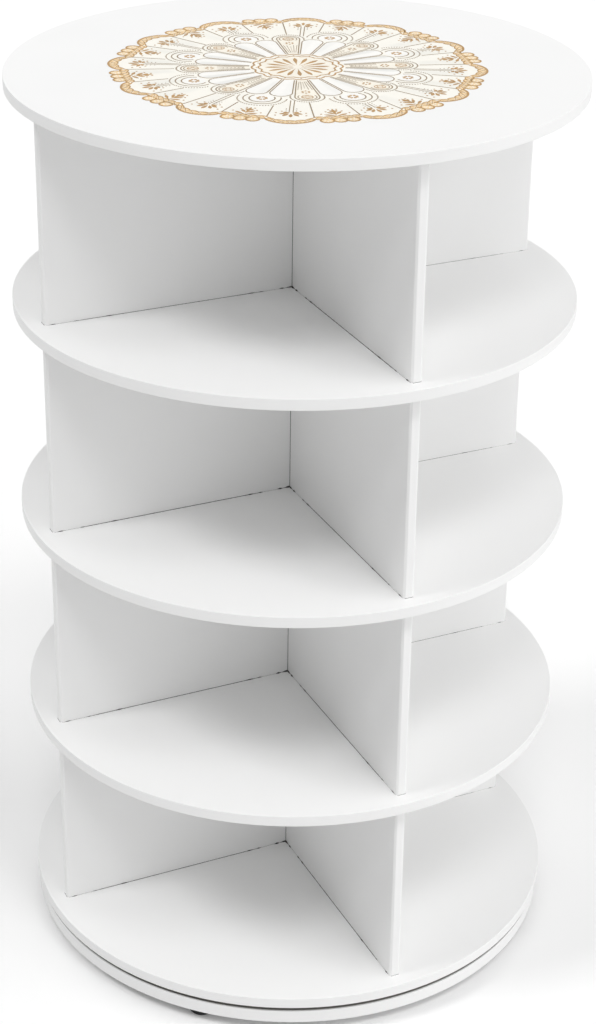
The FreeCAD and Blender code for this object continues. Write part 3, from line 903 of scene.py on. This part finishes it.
class SHOETOWER_OT_lace(bpy.types.Operator):
    """Print a round gold lace on the top board"""

    bl_idname = "shoetower.lace"
    bl_label = "Lace Print"

    def execute(self, context):
        settings = context.scene.shoe_tower.lace
        gold = printed_ink("lace_gold", settings.gold, 0.8, 0.42)
        bronze = printed_ink("lace_bronze", settings.bronze, 0.75, 0.45)
        peach = printed_ink("lace_peach", settings.peach, 0.9, 0.45)
        pale = printed_ink("lace_pale_gold", settings.pale_gold, 0.94, 0.45)
        white = lace_cloth("lace_white", settings.white, settings, *PETAL_FOLDS)
        ground = lace_cloth("lace_ground", settings.ground, settings, *FIELD_FOLDS)
        sheets = (
            ("lace_ground", ground, self.draw_ground, ("top_print",)),
            ("lace_tints", pale, self.draw_tints, ()),
            ("lace_border", peach, self.draw_border, ()),
            ("lace_petals", white, self.draw_petals, ()),
            ("lace_lines", bronze, self.draw_lines, ()),
            ("lace_gold", gold, self.draw_gold, ()),
        )
        step = (PRINT_HIGH - PRINT_LOW) / len(sheets)
        for number, (name, ink, draw, replaced) in enumerate(sheets, 1):
            work = FlatWork(PRINT_LOW + step * number)
            draw(work, settings)
            new_piece(name, work.vertices(settings.turn), work.faces, "tower", ink, replaced)
        return {"FINISHED"}

    def draw_ground(self, work, settings):
        work.shape(around(outer_edge, GROUND_STEPS))

    def draw_tints(self, work, settings):
        """The veined petals of the small lobes, and the middle."""
        for number in range(LOBES):
            work.turned(number * LOBE).shape(petal_path(*VEINED_TINT))
        work.turned(0).dot(0, *MIDDLE_TINT)

    def draw_border(self, work, settings):
        """The fill of the border's band and florets."""
        work.ribbon(list(zip(around(lacy_root, BAND_STEPS), around(crest, BAND_STEPS))), closed=True)
        for turn in floret_turns():
            work.turned(turn).dot(complex(FLORET_PLACE, 0), *FLORET)

    def draw_petals(self, work, settings):
        """Blank petals, two beside each large lobe, the lobes' middles and the border's beads."""
        for number in range(LOBES):
            middle = (number + 0.5) * LOBE
            for side in (-1, 1):
                work.turned(middle + side * FIELD / 2).shape(petal_path(*BLANK_PETAL))
            work.turned(middle).dot(complex(LARGE_LOBE, 0), *LARGE_LOBE_MIDDLE)
        work.turned(0)
        work.dots(around(bead_place, BEADS), BEAD)
        for turn in floret_turns():
            work.turned(turn).dots(ring(complex(FLORET_PLACE, 0), *FLORET_BEADS), FLORET_BEAD)

    def draw_lines(self, work, settings):
        """The lobes, the lines from them to the border, the edges of the blank petals and the stems."""
        for number in range(LOBES):
            self.draw_small_lobe(work.turned(number * LOBE), settings)
            self.draw_large_lobe(work.turned((number + 0.5) * LOBE), settings)
        for field in range(FIELDS):
            turn = field * FIELD
            start = leaves_circles(turn, lobe_circles())
            work.turned(turn).line([complex(start, 0), complex(root(turn), 0)], settings.line)
            if field % (FIELDS // LOBES):
                work.line(petal_path(*BLANK_PETAL), settings.line)
        for number in range(FLOWERS):
            turn = number * FLOWER - FIELD / 2
            self.draw_stem(work.turned(turn), settings, leaves_circles(turn, lobe_circles()))

    def draw_small_lobe(self, work, settings):
        """A veined petal with a ring round its end, and dots round that and between the veins."""
        middle = complex(SMALL_LOBE, 0)
        work.line(petal_path(*VEINED_PETAL), settings.line)
        work.line(arc(middle, *SMALL_LOBE_RING), settings.line * 0.8)
        work.dots(arc(middle, *SMALL_LOBE_DOTS), settings.dot)
        low, high = VEIN_SPREAD
        for lean in VEIN_LEANS:
            vein = [complex(VEIN_START, lean * low), complex(VEIN_END, lean * high)]
            work.line(vein, settings.line * 0.5)
        work.dots([complex(distance * MM, 0) for distance in VEIN_DOTS], settings.dot * 0.8)

    def draw_large_lobe(self, work, settings):
        """Two arcs and a dotted one."""
        middle = complex(LARGE_LOBE, 0)
        for curve in LARGE_LOBE_RINGS:
            work.line(arc(middle, *curve), settings.line)
        work.dots(arc(middle, *LARGE_LOBE_DOTS), settings.dot)

    def draw_stem(self, work, settings, start):
        """A stem of two lines, from the lobes to a sprig, with dots beside its end."""
        for side in (-1, 1):
            shift = complex(0, side * STEM_HALF_WIDTH)
            work.line([start + shift, STEM_END + shift], settings.line * 0.8)
            dots = [complex(distance, side * off) * MM for distance, off in STEM_DOTS]
            work.dots(dots, settings.dot * 0.8)

    def draw_gold(self, work, settings):
        """The border's lines, the middle, the sprigs and sprays, and the lobes' flowers and balls."""
        self.draw_band(work, settings)
        self.draw_middle(work, settings)
        for turn in floret_turns():
            work.turned(turn).line(arc(complex(FLORET_PLACE, 0), *FLORET_EDGE), settings.bold * 0.9)
        for number in range(FLOWERS):
            work.turned(number * FLOWER - FIELD / 2)
            self.draw_leaves(work, SPRIG_LEAVES, 1, SPRIG_LEAF, SPRIG_DOTS)
            work.turned(number * FLOWER + FIELD / 2)
            self.draw_leaves(work, SPRAY_LEAVES, -1, SPRAY_LEAF, SPRAY_DOTS)
        for number in range(LOBES):
            self.draw_netted_ball(work.turned(number * LOBE), settings)
            self.draw_flower(work.turned((number + 0.5) * LOBE))
        for number in range(RING_SCALLOPS):
            work.turned(number * math.tau / RING_SCALLOPS)
            work.shape(leaf_shape(*MIDDLE_LEAF))

    def draw_band(self, work, settings):
        """The band's outer edge over the sprigs, its scalloped inner edge, and a lattice between them."""
        work.turned(0)
        half = FIELD / 2 + BAND_LAP
        for number in range(FLOWERS):
            middle = number * FLOWER - FIELD / 2
            work.line(around(crest, CREST_STEPS, middle - half, middle + half), settings.bold)
        work.line(around(lacy_root, BAND_STEPS), settings.bold * 0.6, closed=True)
        for shift in (0, 1):
            zigzag = []
            for n in range(BEADS):
                turn = (n + 0.5) * math.tau / BEADS
                edge = crest if (n + shift) % 2 else root
                zigzag.append(cmath.rect(edge(turn), turn))
            work.line(zigzag, settings.line * 0.8, closed=True)

    def draw_middle(self, work, settings):
        """Two scalloped rings with dots between them."""
        work.turned(0)
        for radius, rise, width in MIDDLE_RINGS:
            edge = around(lambda turn: radius + rise * scallop(turn), RING_STEPS)
            work.line(edge, settings.line * width, closed=True)
        work.dots(ring(0, MIDDLE_DOTS, RING_SCALLOPS), settings.dot)

    def draw_leaves(self, work, leaves, way, half_width, dots):
        """A fan of leaves near the border, which points outwards or, for a way of -1, inwards."""
        for direction, distance, size in leaves:
            foot = complex(distance * MM, 0)
            out = way * cmath.rect(size * MM, math.radians(direction))
            work.shape(leaf_shape(foot + out * (LEAF_GAP if way > 0 else 0), foot + out, half_width))
        work.dots(both_sides(dots), LEAF_DOT)

    def draw_netted_ball(self, work, settings):
        """A ball of crossed lines in a small lobe, with a rosette of dots below it."""
        centre = complex(SMALL_LOBE, 0)
        work.line(arc(centre, *BALL_RING), settings.line * 0.7)
        reach = math.sqrt(BALL**2 - BALL_NET**2)
        for offset in (-BALL_NET, BALL_NET):
            for direction in (cmath.rect(1, QUARTER / 2), cmath.rect(1, -QUARTER / 2)):
                side = direction * 1j * offset
                thread = [centre + side - direction * reach, centre + side + direction * reach]
                work.line(thread, settings.line * 0.5)
        work.dots(ring(*ROSETTE), ROSETTE_DOT)

    def draw_flower(self, work):
        """A flower in a large lobe."""
        centre = complex(LARGE_LOBE, 0)
        count, start, tip, half_width = FLOWER_PETALS
        for out in ring(0, 1, count):
            work.shape(leaf_shape(centre + out * start, centre + out * tip, half_width))


class SHOETOWER_OT_turntable(bpy.types.Operator):
    """Finish the plates, screws, rivet, balls and cage of the turntable"""

    bl_idname = "shoetower.turntable"
    bl_label = "Turntable"

    def execute(self, context):
        settings = context.scene.shoe_tower.turntable
        sheet = zinc("zinc_plate", settings.zinc, 9 * MM)
        for plate in ("lower_plate", "upper_plate"):
            dress(plate, sheet)
        small = zinc("zinc_fasteners", settings.fastener, 3 * MM)
        for node in ("lower_plate_screws", "upper_plate_screws", "pivot_rivet"):
            dress(node, small)
        dress("bearing_balls", ball_steel(settings))
        dress("ball_cage", nylon(settings))
        return {"FINISHED"}


FOOT_SIDES = 48
FOOT_ROUND = 1.6 * MM
FOOT_TOP_ARRIS = 0.4 * MM
# rings moulded in a foot's pad, in shares of its radius: their middles, and the sides of each
PAD_RINGS = (0.62, 0.36)
RING_TOP, RING_FLOOR = 0.08, 0.05


class SHOETOWER_OT_hidden(bpy.types.Operator):
    """Finish the beech tenons and the rubber feet"""

    bl_idname = "shoetower.hidden"
    bl_label = "Tenons and Feet"

    def execute(self, context):
        settings = context.scene.shoe_tower.hidden
        wood = beech(settings)
        for node in TENONS:
            dress(node, wood)
        black = rubber(settings)
        for foot in FEET:
            self.make_foot(foot, settings, black)
        return {"FINISHED"}

    def make_foot(self, foot, settings, black):
        """A turned rubber foot with eased edges and rings moulded in its pad."""
        low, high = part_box(foot)
        middle = complex(low.x + high.x, low.y + high.y) / 2
        radius = (high.x - low.x) / 2
        profile = [(0.0, high.z), (radius - FOOT_TOP_ARRIS, high.z), (radius, high.z - FOOT_TOP_ARRIS)]
        for step in range(5):
            turn = QUARTER * step / 4
            inset = FOOT_ROUND * (1 - math.cos(turn))
            profile.append((radius - inset, low.z + FOOT_ROUND * (1 - math.sin(turn))))
        for middle_share in PAD_RINGS:
            for shift, depth in ((RING_TOP, 0), (RING_FLOOR, 1), (-RING_FLOOR, 1), (-RING_TOP, 0)):
                profile.append(((middle_share + shift) * radius, low.z + depth * settings.tread))
        profile.append((0.0, low.z))
        vertices = []
        faces = []
        for distance, height in profile:
            for n in range(FOOT_SIDES):
                place = middle + cmath.rect(distance, n * math.tau / FOOT_SIDES)
                vertices.append((place.real, place.imag, height))
        for here in range(0, (len(profile) - 1) * FOOT_SIDES, FOOT_SIDES):
            faces.extend(wall(here, here + FOOT_SIDES, FOOT_SIDES))
        new_piece(f"{foot}_rubber", vertices, faces, "base", black, (foot,), turned=True)


# each lamp's bearing from the camera towards its right, height above the horizon and spread, in degrees
LAMPS = {
    "front_lamp": (0, 56, 14),
    "left_lamp": (-70, 54, 14),
    "right_lamp": (34, 59, 14),
    "low_front_lamp": (45, 25, 50),
    "low_right_lamp": (90, 25, 50),
    "low_rear_lamp": (-135, 25, 50),
}
LAMP_DISTANCE = 3.0
FLOOR_REACH = 20.0
LONG_SIDE = 36.0
NEAREST = 0.05


def aimed(turn, down):
    """A view along +Y, turned about the vertical and tilted down."""
    return Matrix.Rotation(turn, 4, "Z") @ Matrix.Rotation(QUARTER - down, 4, "X")


class SHOETOWER_OT_studio(bpy.types.Operator):
    """Set up the pale floor, the soft light and the camera"""

    bl_idname = "shoetower.studio"
    bl_label = "Studio"

    def execute(self, context):
        settings = context.scene.shoe_tower.studio
        self.make_floor(settings)
        self.make_world(context.scene, settings)
        for name, (bearing, height, spread) in LAMPS.items():
            turn = settings.heading + math.radians(bearing)
            self.make_lamp(name, getattr(settings, name), turn, math.radians(height), math.radians(spread))
        self.make_camera(context.scene, settings)
        context.scene.view_settings.view_transform = "Standard"
        return {"FINISHED"}

    def make_floor(self, settings):
        mesh = bpy.data.meshes.new("studio_floor")
        corners = [(x * FLOOR_REACH, y * FLOOR_REACH, 0) for x, y in ((-1, -1), (1, -1), (1, 1), (-1, 1))]
        mesh.from_pydata(corners, [], [(0, 1, 2, 3)])
        floor = new_object("studio_floor", mesh)
        material, wiring = new_material("studio_floor", Roughness=0.9, Specular_IOR_Level=0.1)
        seen = wiring.node("ShaderNodeLightPath").outputs["Is Camera Ray"]
        wiring.tint(seen, settings.floor, (1.0, 1.0, 1.0))
        mesh.materials.append(material)

    def make_world(self, scene, settings):
        """Light from all round, behind a white backdrop for the camera and for what it sees in gloss."""
        world = bpy.data.worlds.new("studio_world")
        world.use_nodes = True
        wiring = Wiring(world.node_tree)
        rays = wiring.node("ShaderNodeLightPath").outputs
        seen = wiring.maths("MAXIMUM", rays["Is Camera Ray"], rays["Is Glossy Ray"])
        seen = wiring.maths("MAXIMUM", seen, rays["Is Transmission Ray"])
        white = (1.0, 1.0, 1.0, 1.0)
        backdrop = world.node_tree.nodes["Background"]
        backdrop.inputs["Color"].default_value = white
        ambient = wiring.node("ShaderNodeBackground", {"Color": white, "Strength": settings.ambient})
        lights = {0: seen, 1: ambient.outputs["Background"], 2: backdrop.outputs["Background"]}
        light = wiring.node("ShaderNodeMixShader", lights).outputs["Shader"]
        wiring.into("Surface", light, "World Output")
        scene.world = world

    def make_lamp(self, name, energy, turn, height, spread):
        """A large lamp far away: turned about the vertical from -Y, at a height above the horizon.
        Gloss shows the white backdrop alone, so the lamp leaves no highlight of its own."""
        lamp = bpy.data.lights.new(name, "SUN")
        lamp.energy = energy
        lamp.angle = spread
        holder = new_object(name, lamp)
        holder.matrix_world = aimed(turn, height) @ Matrix.Translation((0, 0, LAMP_DISTANCE))
        holder.visible_glossy = False

    def make_camera(self, scene, settings):
        lens = bpy.data.cameras.new("camera")
        lens.sensor_width = LONG_SIDE
        lens.lens = settings.lens
        lens.shift_x = settings.shift_x
        lens.shift_y = settings.shift_y
        lens.clip_start = NEAREST
        camera = new_object("camera", lens)
        heading = aimed(settings.heading, settings.pitch)
        roll = Matrix.Rotation(settings.roll, 4, "Z")
        camera.matrix_world = Matrix.Translation(settings.eye) @ heading @ roll
        scene.camera = camera


OPERATORS = (
    SHOETOWER_OT_boards,
    SHOETOWER_OT_joints,
    SHOETOWER_OT_lace,
    SHOETOWER_OT_turntable,
    SHOETOWER_OT_hidden,
    SHOETOWER_OT_studio,
)


class SHOETOWER_PT_panel(bpy.types.Panel):
    """Lists the tower's operators and settings"""

    bl_idname = "SHOETOWER_PT_panel"
    bl_label = "Shoe Tower"
    bl_space_type = "VIEW_3D"
    bl_region_type = "UI"
    bl_category = "Shoe Tower"

    def draw(self, context):
        for operator in OPERATORS:
            settings = getattr(context.scene.shoe_tower, operator.bl_idname.split(".")[1])
            box = self.layout.box()
            box.operator(operator.bl_idname)
            for name in settings.__annotations__:
                box.prop(settings, name)


CLASSES = (
    BoardSettings,
    JointSettings,
    LaceSettings,
    TurntableSettings,
    HiddenSettings,
    StudioSettings,
    ShoeTowerSettings,
    *OPERATORS,
    SHOETOWER_PT_panel,
)


def register():
    for cls in CLASSES:
        bpy.utils.register_class(cls)
    bpy.types.Scene.shoe_tower = bpy.props.PointerProperty(type=ShoeTowerSettings)


def unregister():
    del bpy.types.Scene.shoe_tower
    for cls in reversed(CLASSES):
        bpy.utils.unregister_class(cls)


def main():
    register()
    for operator in OPERATORS:
        group, name = operator.bl_idname.split(".")
        if getattr(getattr(bpy.ops, group), name)() != {"FINISHED"}:
            raise RuntimeError(f"{operator.bl_idname} did not finish")


if __name__ == "__main__":
    main()
